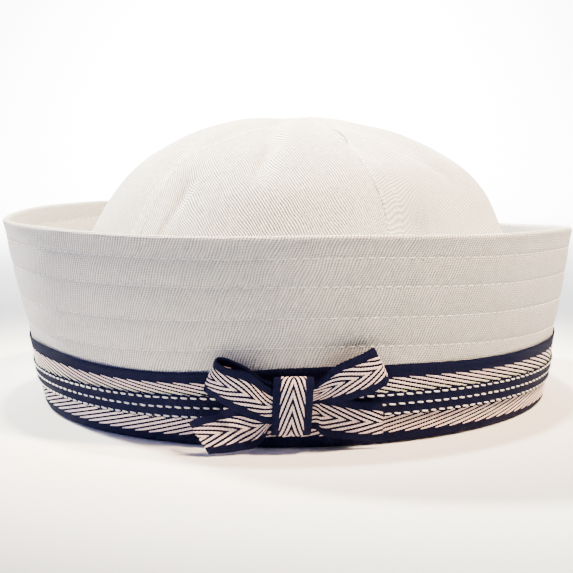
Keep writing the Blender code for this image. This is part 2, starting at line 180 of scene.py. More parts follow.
# The bow's ribbon, as stations along its run: x to the side, distance out and height z of the
# ribbon's upper and lower edge
STATION = "x_up out_up z_up x_low out_low z_low"
LOOP_LEFT = table(
    STATION,
    (-1.8, 3.1, 21.0, -1.8, 3.1, 10.6), (-8.0, 3.3, 22.3, -8.4, 3.4, 10.6),
    (-14.0, 2.4, 26.4, -15.4, 3.6, 13.8), (-19.0, 1.5, 28.6, -22.4, 2.0, 17.4),
    (-22.0, 1.9, 29.2, -26.0, 1.8, 18.8), (-22.6, 3.2, 28.6, -26.7, 3.0, 18.9),
    (-21.6, 4.7, 27.6, -25.6, 4.3, 18.2), (-18.4, 5.9, 26.4, -21.6, 5.3, 15.8),
    (-13.0, 6.2, 25.2, -15.6, 5.5, 12.6), (-7.6, 4.6, 20.8, -8.4, 4.4, 9.4),
    (-1.8, 4.2, 19.8, -1.8, 4.1, 9.6))
LOOP_RIGHT = table(
    STATION,
    (-0.2, 3.1, 20.6, -0.2, 3.1, 14.4), (6.0, 3.2, 22.1, 6.4, 3.4, 15.4),
    (12.0, 2.2, 26.6, 14.0, 3.4, 16.2), (18.6, 1.5, 29.3, 22.2, 2.0, 18.8),
    (21.6, 1.9, 30.9, 26.2, 1.8, 20.7), (22.5, 3.2, 31.6, 27.2, 3.0, 21.2),
    (21.8, 4.7, 31.4, 26.2, 4.3, 20.0), (18.0, 5.8, 29.9, 21.2, 5.2, 17.8),
    (12.0, 6.0, 27.4, 13.6, 5.4, 16.1), (5.8, 4.6, 21.4, 6.0, 4.55, 15.4),
    (-0.2, 4.2, 20.0, -0.2, 4.2, 14.4))
TAIL_LEFT = table(
    STATION,
    (-1.8, 2.1, 14.2, -1.8, 2.1, 7.6), (-7.0, 2.1, 13.2, -7.3, 2.2, 7.2),
    (-9.4, 2.2, 13.4, -9.0, 2.6, 4.6), (-13.0, 2.3, 13.8, -11.6, 3.9, 2.0),
    (-18.0, 3.2, 14.0, -15.6, 5.8, 1.3), (-24.6, 6.2, 12.6, -20.4, 7.9, 1.0),
    (-31.2, 8.8, 10.4, -25.4, 9.8, 0.9))
TAIL_RIGHT = table(
    STATION,
    (-0.2, 2.1, 17.2, -0.2, 2.1, 7.2), (5.4, 2.15, 17.6, 5.4, 2.15, 7.0),
    (7.8, 2.0, 17.3, 7.6, 1.85, 5.0), (12.0, 2.4, 16.5, 11.8, 2.2, 4.0),
    (19.0, 2.9, 15.2, 18.8, 2.6, 2.8), (25.4, 3.2, 14.4, 25.6, 2.8, 2.2))

# The knot's turn of ribbon, seen from the side
KNOT = table(
    "out z",
    (0.75, 7.2), (0.75, 14.4), (0.75, 21.6), (1.6, 23.0), (3.2, 23.4), (5.0, 23.0),
    (6.3, 21.4), (6.7, 17.9), (6.6, 14.2), (6.3, 10.3), (5.7, 7.2), (4.4, 5.7),
    (2.9, 5.4), (1.5, 5.9))
KNOT_CENTRE = -1.0
KNOT_LEAN = 0.06
KNOT_WIDTH = 11.6

YARN_WIDTH = 0.78         # of a stripe of any of the ribbons' herringbones
YARN_BACK, YARN_BELLY = 0.14, 0.05   # its height above and below its middle
TOOTH_IN, TOOTH_OUT = 0.11, -0.02    # its sides, at a binding pick and between two
PICK_STEP = 0.9           # along a stripe, from one binding pick to the next

# Camera: place in front of the foot's axis, downward pitch, roll, focal length for a 36 mm sensor
CAMERA = dict(x=-2.2, y=-400.0, z=83.8, pitch=6.51, roll=0.81, lens=66.5)


def linear(code):
    """Linear colour of an sRGB hex code."""
    parts = [int(code[i:i + 2], 16) / 255 for i in (1, 3, 5)]
    return tuple(c / 12.92 if c <= 0.04045 else ((c + 0.055) / 1.055) ** 2.4 for c in parts)


def distance(name, description, default, least, most):
    """A setting that is a length in metres."""
    return FloatProperty(name=name, description=description, default=default, min=least, max=most,
                         subtype="DISTANCE", unit="LENGTH")


def tone(name, description, code):
    """A setting that is a colour."""
    return FloatVectorProperty(name=name, description=description, default=linear(code), size=3,
                               min=0, max=1, subtype="COLOR")


class CapSettings(bpy.types.PropertyGroup):
    """Sizes and colours of the cap that a user may change."""

    stitch_pitch: distance(
        "Stitch Pitch", "From one stitch of a row to the next", 0.0031, 0.001, 0.01)
    stitch_length: distance(
        "Stitch Length", "Length of the thread that shows in each stitch", 0.0022, 0.0005, 0.008)
    thread_width: distance(
        "Thread Width", "Thickness of the sewing thread", 0.00044, 0.0001, 0.002)
    wale_pitch: distance(
        "Wale Pitch", "From one diagonal rib of the twill to the next", 0.00085, 0.0002, 0.004)
    stripe_pitch: distance(
        "Stripe Pitch", "From one stripe to the next along the wide ribbon", 0.0055, 0.002, 0.02)
    bow_stripe_pitch: distance(
        "Bow Stripe Pitch", "From one chevron to the next along the bow's ribbon",
        0.0041, 0.002, 0.02)
    twill_colour: tone("Twill", "Colour of the cotton twill", "#F7F3EE")
    yarn_colour: tone("Stripe Yarn", "Colour of the ribbon's stripes", "#FDE2DC")
    cream_colour: tone(
        "Cream Yarn", "Colour of the stripes beside the narrow ribbon", "#F3EDCE")
    navy_colour: tone("Navy", "Colour of the ribbons' navy yarn", "#0E1233")
    thread_colour: tone("Sewing Thread", "Colour of the stitches", "#FBF8F2")
    around: IntProperty(
        name="Columns Around", description="Steps of the cloth around the brim",
        default=1056, min=96, max=2000)


# Curves and surfaces. They take single numbers or arrays and work in millimetres.

def curve(xs, ys, x):
    """Smooth values at x of a curve through the points xs, ys (cubic Hermite)."""
    xs, ys, x = (np.asarray(a, float) for a in (xs, ys, x))
    slopes = np.gradient(ys, xs)
    x = np.clip(x, xs[0], xs[-1])
    i = np.clip(np.searchsorted(xs, x) - 1, 0, len(xs) - 2)
    h = xs[i + 1] - xs[i]
    t = (x - xs[i]) / h
    return ((1 + 2 * t) * (1 - t) ** 2 * ys[i] + t * (1 - t) ** 2 * h * slopes[i]
            + t * t * (3 - 2 * t) * ys[i + 1] + t * t * (t - 1) * h * slopes[i + 1])


def around(rows, column, azimuth):
    """Smooth values of a table's column at azimuths, running on past +-180."""
    xs, ys = ([row[c] for row in rows] for c in ("azimuth", column))
    xs = [x - 360 for x in xs] + xs + [x + 360 for x in xs]
    return curve(xs, ys * 3, (np.asarray(azimuth, float) + 180) % 360 - 180)


def along(rows, column, t):
    """Smooth values of a table's column at t from 0 (first row) to 1 (last row)."""
    last = len(rows) - 1
    return curve(range(last + 1), [row[column] for row in rows], np.asarray(t, float) * last)


def unit(vectors):
    """Vectors at a length of one."""
    return vectors / np.linalg.norm(vectors, axis=-1)[..., None]


def way(points):
    """Distance along a line of points to each of them."""
    steps = np.linalg.norm(np.diff(points, axis=0), axis=1)
    return np.concatenate([[0], np.cumsum(steps)])


def polar(radius, azimuth, z):
    """Points at radii and azimuths, as an array with x, y and z in its last axis."""
    a = np.radians(azimuth)
    x, y = radius * np.sin(a), -radius * np.cos(a)
    return np.stack(np.broadcast_arrays(x, y, z), axis=-1)


def waves(points, size, seed):
    """Soft unevenness of cloth, about -1 to 1, from crossed waves about size long."""
    rng = np.random.default_rng(seed)
    total = np.zeros(points.shape[:-1])
    for _ in range(7):
        direction = rng.normal(size=3)
        direction *= 2 * math.pi / (size * rng.uniform(0.7, 1.5)) / np.linalg.norm(direction)
        total += np.sin(points @ direction + rng.uniform(0, 6.28))
    return total / 4.0


def brim_outside(azimuth, z):
    """Radius of the brim's outside at a height."""
    foot, mid, rim, height = (around(BRIM, c, azimuth) for c in ("foot", "mid", "rim", "height"))
    t = (z - MID_HEIGHT) / (height - MID_HEIGHT)
    upper = mid + (rim - mid) * t + 0.5 * np.sin(np.pi * np.clip(t, 0, 1))
    return np.where(z <= MID_HEIGHT, foot + (mid - foot) * z / MID_HEIGHT, upper)


def brim_relief(azimuth, z, pitch):
    """How far the brim's cloth stands out: sewn-down rows, puffs between them, soft waves."""
    below = around(BRIM, "height", azimuth) - z
    run = np.radians(azimuth) * RUN_RADIUS
    relief = 0.24 * waves(polar(RUN_RADIUS, azimuth, z), 34.0, 3)
    for number, row in enumerate(BRIM_ROWS):
        away = np.abs(below - around(ROW_DEPTHS, row, azimuth))
        pull = 0.55 + 0.45 * np.cos(2 * np.pi * run / pitch + number)
        relief = relief - 0.42 * pull * np.exp(-(away / 0.45) ** 2)
        relief = relief - 0.18 * np.exp(-(away / 1.8) ** 2)
    relief = relief + 0.16 * np.exp(-((below - 1.3) / 0.9) ** 2)
    return relief - 0.12 * np.exp(-((below - 3.6) / 1.2) ** 2)


def ribbon_face(azimuth, z):
    """Radius of the wide ribbon's outer face."""
    return brim_outside(azimuth, z) + RIBBON_STEP


def seam_azimuth(seam, t):
    """Azimuth of a seam at t from the crown's bottom edge (0) to the apex (1)."""
    return curve([0.0, 0.35, 0.6, 0.85, 1.0],
                 [seam["low"], seam["low"], seam["shoulder"], seam["top"], seam["top"]], t)


def crown_surface(azimuth, t, lift=0.0):
    """Outside of the crown, moved in or out by its pinches, puffs, folds and creases."""
    azimuth, t = np.asarray(azimuth, float), np.asarray(t, float)
    radius, z = along(CROWN, "radius", t), along(CROWN, "height", t)
    fall = along(CROWN, "radius", t - 0.01) - along(CROWN, "radius", t + 0.01)
    climb = along(CROWN, "height", t + 0.01) - along(CROWN, "height", t - 0.01)
    size = np.hypot(fall, climb)
    spans = [np.abs((azimuth - seam_azimuth(s, t) + 180) % 360 - 180) for s in SEAMS]
    span = np.minimum.reduce(spans)
    near = np.maximum(radius, 0) * np.sin(np.radians(np.minimum(span, 90)))
    show = np.clip((t - 0.15) / 0.3, 0, 1) * np.clip(radius / 18, 0, 1)
    move = -SEAM_PINCH * np.exp(-(near / SEAM_SPREAD) ** 2) * show
    move = move + GORE_PUFF * np.sin(np.pi * np.clip(span / 90, 0, 1)) * show
    base = polar(radius, azimuth, z)
    for fold in DEEP_FOLDS + CREASES:
        a = np.array([fold["x0"], fold["y0"]], float)
        run = np.array([fold["x1"], fold["y1"]], float) - a
        share = np.clip(((base[..., :2] - a) @ run) / (run @ run), 0, 1)
        away = np.linalg.norm(base[..., :2] - a - share[..., None] * run, axis=-1)
        fade = 0.35 + 0.65 * np.sin(np.pi * (0.08 + 0.84 * share))
        dent = fold["rise"] * fade * np.exp(-(away / fold["width"]) ** 2)
        move = move + dent * np.clip(3 * t, 0, 1)
    move = move + lift + 0.18 * waves(base, 26.0, 11) * show
    point = polar(radius + climb / size * move, azimuth, z + fall / size * move)
    point[..., 0] += along(CROWN, "tilt", t)
    return point


def bow_place(x, out, z):
    """Points at x beside the middle and at a distance out from the wide ribbon's face."""
    azimuth = np.degrees(np.arcsin(x / (ribbon_face(0.0, z) + out)))
    return polar(ribbon_face(azimuth, z) + BOW_OFF + out, azimuth, z)


# Materials

def add_node(tree, kind, values=(), **settings):
    """Adds a node, sets its inputs and joins sockets that are given instead of values."""
    node = tree.nodes.new(kind)
    for key, value in settings.items():
        setattr(node, key, value)
    for key, value in dict(values).items():
        if isinstance(value, bpy.types.NodeSocket):
            tree.links.new(value, node.inputs[key])
        else:
            node.inputs[key].default_value = value
    return node


def new_material(name, colour, roughness):
    """A new material with its node tree and its shader."""
    mat = bpy.data.materials.new(name)
    mat.use_nodes = True
    shader = mat.node_tree.nodes["Principled BSDF"]
    shader.inputs["Base Color"].default_value = (*colour, 1.0)
    shader.inputs["Roughness"].default_value = roughness
    return mat, mat.node_tree, shader


def cloth_material(name, colour, roughness, sheen=0.0):
    """A new cloth material, and the piece's own flat coordinates in millimetres."""
    mat, tree, shader = new_material(name, colour, roughness)
    shader.inputs["Sheen Weight"].default_value = sheen
    return mat, tree, shader, add_node(tree, "ShaderNodeUVMap", uv_map="flat").outputs["UV"]


def ribs(tree, flat, angle, pitch):
    """Parallel ribs across the flat coordinates, 0 to 1, at an angle and a pitch in mm."""
    turned = add_node(tree, "ShaderNodeMapping", {"Vector": flat, "Rotation": (0, 0, angle)})
    wave = add_node(tree, "ShaderNodeTexWave",
                    {"Vector": turned.outputs["Vector"], "Scale": math.pi / 10 / pitch},
                    wave_type="BANDS", bands_direction="X", wave_profile="SIN")
    return wave.outputs["Fac"]


def noise(tree, place, scale, detail):
    """Soft noise over the coordinates, 0 to 1."""
    values = {"Vector": place, "Scale": scale, "Detail": detail}
    return add_node(tree, "ShaderNodeTexNoise", values).outputs["Fac"]


def add_share(tree, value, share, base=0.0):
    """A share of a value, added to a base."""
    return add_node(tree, "ShaderNodeMath", {0: value, 1: share, 2: base},
                    operation="MULTIPLY_ADD").outputs[0]


def remap(tree, value, low, high, start=0.0, end=1.0):
    """A value spread from low at start to high at end, and held there beyond them."""
    values = {"Value": value, "From Min": start, "From Max": end, "To Min": low, "To Max": high}
    return add_node(tree, "ShaderNodeMapRange", values).outputs[0]


def bump(tree, shader, height, strength, depth):
    """Gives the shader a height as relief; its depth is in metres."""
    relief = add_node(tree, "ShaderNodeBump",
                      {"Height": height, "Strength": strength, "Distance": depth})
    tree.links.new(relief.outputs["Normal"], shader.inputs["Normal"])


def tint(tree, shader, colour, share):
    """Gives the shader a colour made lighter or darker by a share."""
    scaled = add_node(tree, "ShaderNodeVectorMath", {0: colour, "Scale": share},
                      operation="SCALE")
    tree.links.new(scaled.outputs["Vector"], shader.inputs["Base Color"])


def twill_material(name, settings, angle, pitch_share=1.0, gap_height=0.30, painted_gap_shade=0.12):
    """Bleached cotton twill: diagonal wales crossed by fine yarns, with slubs and a soft nap.

    The wales are what the eye reads first; the painted shade in the line between two of them is
    what shows at a distance, and the slow tint change keeps the white from looking flat. The
    lines' painted shade is darker than the real gaps' shade, because a picture of the whole cap
    has few pixels to a wale.
    """
    mat, tree, shader, flat = cloth_material(name, settings.twill_colour, 0.88, 0.12)
    shader.inputs["Sheen Roughness"].default_value = 0.5
    pitch = settings.wale_pitch / MM * pitch_share
    wander = add_node(tree, "ShaderNodeTexNoise", {"Vector": flat, "Scale": 0.09, "Detail": 1.0})
    bent = add_node(tree, "ShaderNodeVectorMath",
                    {0: wander.outputs["Color"], 1: (2.4, 2.4, 0.0), 2: flat},
                    operation="MULTIPLY_ADD").outputs["Vector"]
    wales = ribs(tree, bent, angle, pitch)
    yarns = ribs(tree, bent, angle + 1.15, pitch * 0.8)
    weave = add_share(tree, yarns, 0.35, wales)
    height = add_share(tree, noise(tree, flat, 0.55, 3.0), 0.6, weave)
    bump(tree, shader, height, 1.0, 0.00024)
    shade = remap(tree, noise(tree, flat, 0.03, 2.0), 0.955, 1.02)
    # painted shade in the gaps between the wales: the lighter it is, the less light the crests, so
    # that the cloth's mean tone stays
    groove_shade = remap(tree, height, painted_gap_shade, 1.08 - 0.69 * painted_gap_shade, gap_height, 1.45)
    tint(tree, shader, tuple(settings.twill_colour), add_share(tree, shade, groove_shade))
    return mat


def navy_material(name, settings, rib_pitch=0.5):
    """Navy ribbon yarn: tight ribs across the ribbon, with a dull light painted on their crests.
    """
    mat, tree, shader, flat = cloth_material(name, settings.navy_colour, 0.75)
    shader.inputs["Specular IOR Level"].default_value = 0.04
    crests = ribs(tree, flat, 0.0, rib_pitch)
    yarns = ribs(tree, flat, math.pi / 2, 0.34)
    knit = add_share(tree, yarns, 0.4, crests)
    height = add_share(tree, noise(tree, flat, 1.6, 4.0), 0.7, knit)
    bump(tree, shader, height, 0.7, 0.00012)
    # painted light on the ribs' crests and painted shade between them
    tint(tree, shader, tuple(settings.navy_colour), remap(tree, height, 0.3, 0.85, end=2.0))
    return mat


def yarn_material(name, settings, cream=None):
    """Pale pink stripe yarn: floats crossed by fine picks, cream beside the narrow ribbon."""
    mat, tree, shader, flat = cloth_material(name, settings.yarn_colour, 0.7, 0.2)
    picks = ribs(tree, flat, 0.9, 0.85)
    bump(tree, shader, add_share(tree, noise(tree, flat, 2.2, 3.0), 0.6, picks), 0.6, 0.0001)
    shade = remap(tree, noise(tree, flat, 0.35, 2.0), 0.88, 1.12, 0.3, 0.7)
    near = 0.0
    if cream:
        across = add_node(tree, "ShaderNodeSeparateXYZ", {"Vector": flat}).outputs["Y"]
        near = remap(tree, across, 0.0, 1.0, *cream)
    base = add_node(tree, "ShaderNodeMixRGB",
                    {"Color1": (*settings.yarn_colour, 1), "Color2": (*settings.cream_colour, 1),
                     "Fac": near})
    # painted shade in the low lines between the picks' ridges
    groove_shade = remap(tree, picks, 0.80, 1.04)
    tint(tree, shader, base.outputs[0], add_share(tree, shade, groove_shade))
    return mat


def thread_material(name, settings):
    """Sewing thread: two twisted plies with a slight gloss."""
    mat, tree, shader, flat = cloth_material(name, settings.thread_colour, 0.55, 0.1)
    plies = ribs(tree, flat, 0.9, 0.35)
    bump(tree, shader, plies, 0.6, 0.00005)
    # painted shade between the plies
    tint(tree, shader, tuple(settings.thread_colour), remap(tree, plies, 0.88, 1.0))
    return mat


def floor_material(colour):
    """Pale matt paper under the cap, with a very faint tooth."""
    mat, tree, shader = new_material("pale_paper", colour, 0.9)
    place = add_node(tree, "ShaderNodeTexCoord").outputs["Object"]
    bump(tree, shader, noise(tree, place, 900.0, 2.0), 0.05, 0.0001)
    return mat


# Making pieces

def vertex_points(mesh):
    """A mesh's points, a row for each vertex."""
    points = np.empty(len(mesh.vertices) * 3, np.float32)
    mesh.vertices.foreach_get("co", points)
    return points.reshape(-1, 3)


def face_corners(mesh):
    """The vertex at each corner of the mesh's faces."""
    corners = np.empty(len(mesh.loops), np.int32)
    mesh.loops.foreach_get("vertex_index", corners)
    return corners


def set_flat(mesh, flat):
    """Writes flat coordinates in mm, a row for each corner, for the materials to use."""
    layer = mesh.uv_layers.get("flat") or mesh.uv_layers.new(name="flat")
    layer.data.foreach_set("uv", flat[:, :2].astype(np.float32).ravel())


def add_object(name, data):
    """Puts a new object into the scene."""
    ob = bpy.data.objects.new(name, data)
    bpy.context.scene.collection.objects.link(ob)
    return ob


def add_piece(name, mesh, mat):
    """Puts a mesh into the scene as a piece of the cap."""
    mesh.materials.append(mat)
    mesh.shade_smooth()
    ob = add_object(name, mesh)
    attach(ob, "root")
    return ob


def piece(name, bm, place, mat, replaces=(), closed=True):
    """Makes a piece of a flat mesh: place takes its x, y and z arrays to millimetre points."""
    mesh = bpy.data.meshes.new(name)
    bm.to_mesh(mesh)
    bm.free()
    flat = vertex_points(mesh).astype(float)
    set_flat(mesh, flat[face_corners(mesh)])
    points = (place(flat[:, 0], flat[:, 1], flat[:, 2]) + CENTRE) * MM
    mesh.vertices.foreach_set("co", points.astype(np.float32).ravel())
    mesh.update()
    if closed:
        bm = bmesh.new()
        bm.from_mesh(mesh)
        bmesh.ops.remove_doubles(bm, verts=bm.verts, dist=1e-6)
        bmesh.ops.dissolve_degenerate(bm, dist=1e-7, edges=bm.edges)
        bmesh.ops.recalc_face_normals(bm, faces=bm.faces)
        bm.to_mesh(mesh)
        bm.free()
    ob = add_piece(name, mesh, mat)
    mesh.set_sharp_from_angle(angle=math.radians(60))
    if replaces:
        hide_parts(*replaces)
    return ob


def grid(columns, rows, x_range, y_range):
    """A flat grid over the ranges of x and y, each split into equal steps."""
    bm = bmesh.new()
    bmesh.ops.create_grid(bm, x_segments=columns, y_segments=rows, size=1.0)
    for vert in bm.verts:
        for axis, (low, high) in enumerate((x_range, y_range)):
            vert.co[axis] = low + (high - low) * (vert.co[axis] + 1) / 2
    return bm


def stitches(name, seats, settings, mat, length=None, width=None, tilt=0.0, sides=8):
    """Joined copies of one stitch, each on a seat: point, direction along the row, outward."""
    length = length or settings.stitch_length / MM
    width = width or settings.thread_width / MM
    bm = bmesh.new()
    bmesh.ops.create_uvsphere(bm, u_segments=sides, v_segments=6, radius=0.5)
    bmesh.ops.rotate(bm, verts=bm.verts, cent=(0, 0, 0),
                     matrix=Matrix.Rotation(math.pi / 2, 3, "Y"))
    bmesh.ops.recalc_face_normals(bm, faces=bm.faces)
    bm.verts.ensure_lookup_table()
    ball = np.array([v.co[:] for v in bm.verts])
    faces = [[v.index for v in f.verts] for f in bm.faces]
    bm.free()
    # a stitch is a short sausage whose ends dive into the cloth
    body = np.sign(ball[:, 0]) * (2 * np.abs(ball[:, 0])) ** 0.75 / 2
    girth = 2 * np.hypot(ball[:, 1], ball[:, 2])
    plump = width * np.maximum(girth, 1e-3) ** -0.4
    shape = np.stack([body * length, ball[:, 1] * plump, ball[:, 2] * plump], axis=1)
    shape[:, 2] -= (2 * np.abs(body)) ** 3 * width * 0.45
    point, ahead, out = (np.asarray([s[i] for s in seats], float) for i in range(3))
    ahead = unit(ahead)
    side = unit(np.cross(out, ahead))
    out = np.cross(ahead, side)
    rng = np.random.default_rng(len(seats))
    turn = rng.normal(tilt, 0.035, len(seats))[:, None]
    ahead, side = ahead + turn * side, side - turn * ahead
    scale = rng.normal(1.0, 0.05, len(seats))[:, None, None]
    verts = (point[:, None] + ahead[:, None] * shape[None, :, 0:1] * scale
             + side[:, None] * shape[None, :, 1:2] + out[:, None] * shape[None, :, 2:3])
    count = len(shape)
    mesh = bpy.data.meshes.new(name)
    mesh.from_pydata(((verts.reshape(-1, 3) + CENTRE) * MM).tolist(), [],
                     [[i + count * k for i in face] for k in range(len(seats)) for face in faces])
    set_flat(mesh, shape[face_corners(mesh) % count])
    return add_piece(name, mesh, mat)


def seats_on(place, a, b, lift=0.0):
    """Seats at the pairs (a, b) of a surface place(a, b), with the row running along a."""
    e = 1e-3
    here = place(a, b)
    ahead = place(a + e, b) - place(a - e, b)
    up = place(a, b + e) - place(a, b - e)
    out = unit(np.cross(ahead, up))
    return list(zip(here + out * lift, ahead, out))


def all_of(bm):
    """All that a mesh is made of."""
    return bm.verts[:] + bm.edges[:] + bm.faces[:]


def herringbone(length, half, pitch, rise, is_ring, tips=0.4):
    """Flat stripes of one half of a herringbone, 0 to half across and 0 to length along.

    Each stripe runs from the outer edge down to the middle line, rising by rise per pitch, with a
    rounded back, and its sides step in and out where the binding picks cross it. The outer ends
    are cut off along the ribbon, by tips. A ribbon that is no ring is cut at its two ends.
    """
    slope = rise / pitch
    start = -0.8 / slope
    run = half / slope + YARN_WIDTH / slope - start
    steps = max(8, round(run / (PICK_STEP / 2)))
    bm = bmesh.new()
    first = 0 if is_ring else -math.ceil(run / pitch)
    stop = round(length / pitch) if is_ring else math.ceil(length / pitch) + 1
    bmesh.ops.create_grid(bm, x_segments=steps, y_segments=6, size=1.0)
    for vert in bm.verts:
        t, turn = (vert.co.x + 1) / 2, (vert.co.y + 1) * math.pi
        wide = YARN_WIDTH / 2 - (TOOTH_IN if round(t * steps) % 2 else TOOTH_OUT)
        high = math.sin(turn)
        vert.co.x = start + t * run
        vert.co.y = half - vert.co.x * slope - YARN_WIDTH / 2 - math.cos(turn) * wide
        vert.co.z = (YARN_BACK if high > 0 else YARN_BELLY) * high
    bmesh.ops.remove_doubles(bm, verts=bm.verts, dist=1e-5)
    bmesh.ops.holes_fill(bm, edges=[e for e in bm.edges if e.is_boundary], sides=0)
    cut(bm, (0, half - tips, 0), (0.12, 1, 0))
    cut(bm, (-1.2, half, 0), (-1, 0.25, 0))
    cut(bm, (0, 0.04, 0), (0, -1, 0))
    stripe = all_of(bm)
    for number in range(first + 1, stop):
        copy = bmesh.ops.duplicate(bm, geom=stripe)["geom"]
        bmesh.ops.translate(bm, vec=((number - first) * pitch, 0, 0),
                            verts=[g for g in copy if isinstance(g, bmesh.types.BMVert)])
    bmesh.ops.translate(bm, vec=(first * pitch, 0, 0), verts=bm.verts)
    if not is_ring:
        cut(bm, (0.06, 0, 0), (-1, 0, 0))
        cut(bm, (length - 0.06, 0, 0), (1, 0, 0))
    return bm


def cut(bm, point, away):
    """Cuts off what lies beyond a plane and closes the cut."""
    done = bmesh.ops.bisect_plane(bm, geom=all_of(bm), plane_co=point, plane_no=away,
                                  clear_outer=True)
    edges = [g for g in done["geom_cut"] if isinstance(g, bmesh.types.BMEdge)]
    if edges:
        bmesh.ops.holes_fill(bm, edges=edges, sides=0)


def chevrons(length, pitch):
    """Both halves of the bow ribbon's herringbone, its points towards the far end."""
    bm = herringbone(length, BOW_HERRINGBONE, pitch, BOW_RISE, False)
    other = bmesh.ops.duplicate(bm, geom=all_of(bm))["geom"]
    verts = [g for g in other if isinstance(g, bmesh.types.BMVert)]
    bmesh.ops.scale(bm, vec=(1, -1, 1), verts=verts)
    bmesh.ops.reverse_faces(bm, faces=[g for g in other if isinstance(g, bmesh.types.BMFace)])
    return bm


def ribbon_strip(length, width, columns, rows, thick):
    """A flat strip of ribbon with soft edges: x along, y across from -width/2, z its two faces."""
    ring = 2 * rows + 2
    bm = grid(columns, ring, (0, length), (0, 1))
    for vert in bm.verts:
        k = round(vert.co.y * ring) % ring
        front = k <= rows + 1
        j = k if front else ring - k
        share = np.clip((j - 0.5) / rows, 0, 1)
        at_edge = j in (0, rows + 1)
        vert.co.y = (share - 0.5) * width
        vert.co.z = -thick / 2 if at_edge else (0.0 if front else -thick)
        if not at_edge and j in (1, rows):
            vert.co.y += 0.25 if j == 1 else -0.25
    bmesh.ops.remove_doubles(bm, verts=bm.verts, dist=1e-5)
    return bm


class BowRun:
    """The middle surface of a run of the bow's ribbon, measured along and across in mm."""

    def __init__(self, rows):
        u = np.linspace(0, 1, 240)
        self.up, self.low = (bow_place(*(along(rows, c + edge, u) for c in ("x", "out", "z")))
                             for edge in ("_up", "_low"))
        self.s = way((self.up + self.low) / 2)
        self.length = float(self.s[-1])

    def place(self, s, across, height):
        """Points at s along, across from -0.5 (lower edge) to 0.5, and height off the middle."""
        w = (across + 0.5)[:, None]

        def at(values, where):
            return np.stack([np.interp(where, self.s, values[:, i]) for i in range(3)], axis=-1)

        def middle(where):
            where = np.clip(where, 0, self.length)
            return at(self.low, where) * (1 - w) + at(self.up, where) * w

        up, low = at(self.up, s), at(self.low, s)
        normal = unit(np.cross(middle(s + 0.25) - middle(s - 0.25), up - low))
        return low * (1 - w) + up * w + normal * height[:, None]


def finish(build, context):
    """Runs a builder for an operator."""
    build(context.scene.sailor_cap)
    return {"FINISHED"}


# The pieces


def brim_section():
    """The brim's section as (line, distance, inset): heights, or distances below a line.

    It runs up the outside, over the rim, down the inside and around the turned-in foot, and is
    split finely beside each row of stitches.
    """
    outside = [("z", z, 0.0) for z in (3.5, 6, 9, 12, 15, 18)]
    for row in reversed(BRIM_ROWS):
        outside += [(row, d, 0.0) for d in (2.6, 1.2, 0.55, 0.25, 0, -0.25, -0.55, -1.2, -2.6)]
    outside += [("rim", d, 0.0) for d in (2.8, 2.0, 1.4)]
    rim = [("rim", BRIM_WALL / 2 * (1 - math.sin(a)), BRIM_WALL / 2 * (1 - math.cos(a)))
           for a in np.linspace(0.15, math.pi - 0.15, 9)]
    inside = [("rim", d, BRIM_WALL) for d in (1.2, 3.0)]
    for row in BRIM_ROWS:
        inside += [(row, d, BRIM_WALL) for d in (-0.6, 0, 0.6, 4.0)]
    inside += [("z", z, BRIM_WALL) for z in (18, 12, 7, 4, FOOT_HEIGHT)]
    foot = [("z", z, inset) for z, inset in (
        (FOOT_HEIGHT, 4.0), (FOOT_HEIGHT - 0.5, 4.7), (1.0, 4.8), (0.35, 4.6), (0.0, 4.1),
        (0.0, 3.0), (0.0, 1.6), (0.25, 0.7), (0.8, 0.15), (1.6, 0.0), (3.0, 0.0))]
    return outside + rim + inside + foot


def build_brim(settings):
    """The brim's cloth with its rolled rim and foot, and its rows of stitches."""
    number = round(2 * math.pi * RUN_RADIUS / (settings.stitch_pitch / MM))
    pitch = 2 * math.pi * RUN_RADIUS / number
    section = brim_section()
    rows = len(section)
    bm = grid(settings.around, rows, (-180, 180), (0, rows))

    def place(x, y, _):
        k = np.round(y).astype(int) % rows
        line, value, inset = (np.array(column)[k] for column in zip(*section))
        z = np.where(line == "z", value, around(BRIM, "height", x) - value)
        for row in BRIM_ROWS:
            z = z - np.where(line == row, around(ROW_DEPTHS, row, x), 0)
        relief = brim_relief(x, z, pitch) * np.clip(z / 12, 0, 1)
        inner = inset > BRIM_WALL * 0.6
        shift = np.where(inner, INNER_SHARE * relief + 0.1, relief)
        return polar(brim_outside(x, z) - inset + shift, x, z)

    # the brim's twill has lighter painted shade between its wales
    twill = twill_material("twill_brim", settings, 0.42, painted_gap_shade=0.20)
    brim = piece("brim_cloth", bm, place, twill, ["brim"])
    # the material's flat coordinates: the run around the cap, and the height
    mesh = brim.data
    azimuths = np.empty(len(mesh.loops) * 2, np.float32)
    mesh.uv_layers["flat"].data.foreach_get("uv", azimuths)
    run = np.radians(azimuths[::2]) * RUN_RADIUS
    set_flat(mesh, np.stack([run, (vertex_points(mesh)[face_corners(mesh)] / MM)[:, 2]], axis=1))

    steps = (np.arange(number) + 0.5) * 360 / number - 180
    outer, inner = [], []
    for shift, row in enumerate(BRIM_ROWS):
        def face(a, b, row=row, inset=0.0, share=1.0, off=0.0):
            z = around(BRIM, "height", a) - around(ROW_DEPTHS, row, a) - b
            return polar(brim_outside(a, z) - inset + share * brim_relief(a, z, pitch) + off, a, z)

        def back(a, b, face=face):
            return face(a, b, inset=BRIM_WALL, share=INNER_SHARE, off=0.1)

        azimuth = steps - shift * 180 / math.pi * pitch / RUN_RADIUS / (2 * math.pi)
        level = np.zeros(number)
        outer += [(p, t, -o) for p, t, o in seats_on(face, azimuth, level, -0.32)]
        inner += seats_on(back, azimuth, level, 0.05)
    thread = thread_material("sewing_thread", settings)
    stitches("brim_stitches_outside", outer, settings, thread, tilt=0.05)
    stitches("brim_stitches_inside", inner, settings, thread, sides=5)


# Lean of the wales on each gore, in radians
GORE_WALES = dict(front=-0.58, right=1.30, back=-0.44, left=-0.60)


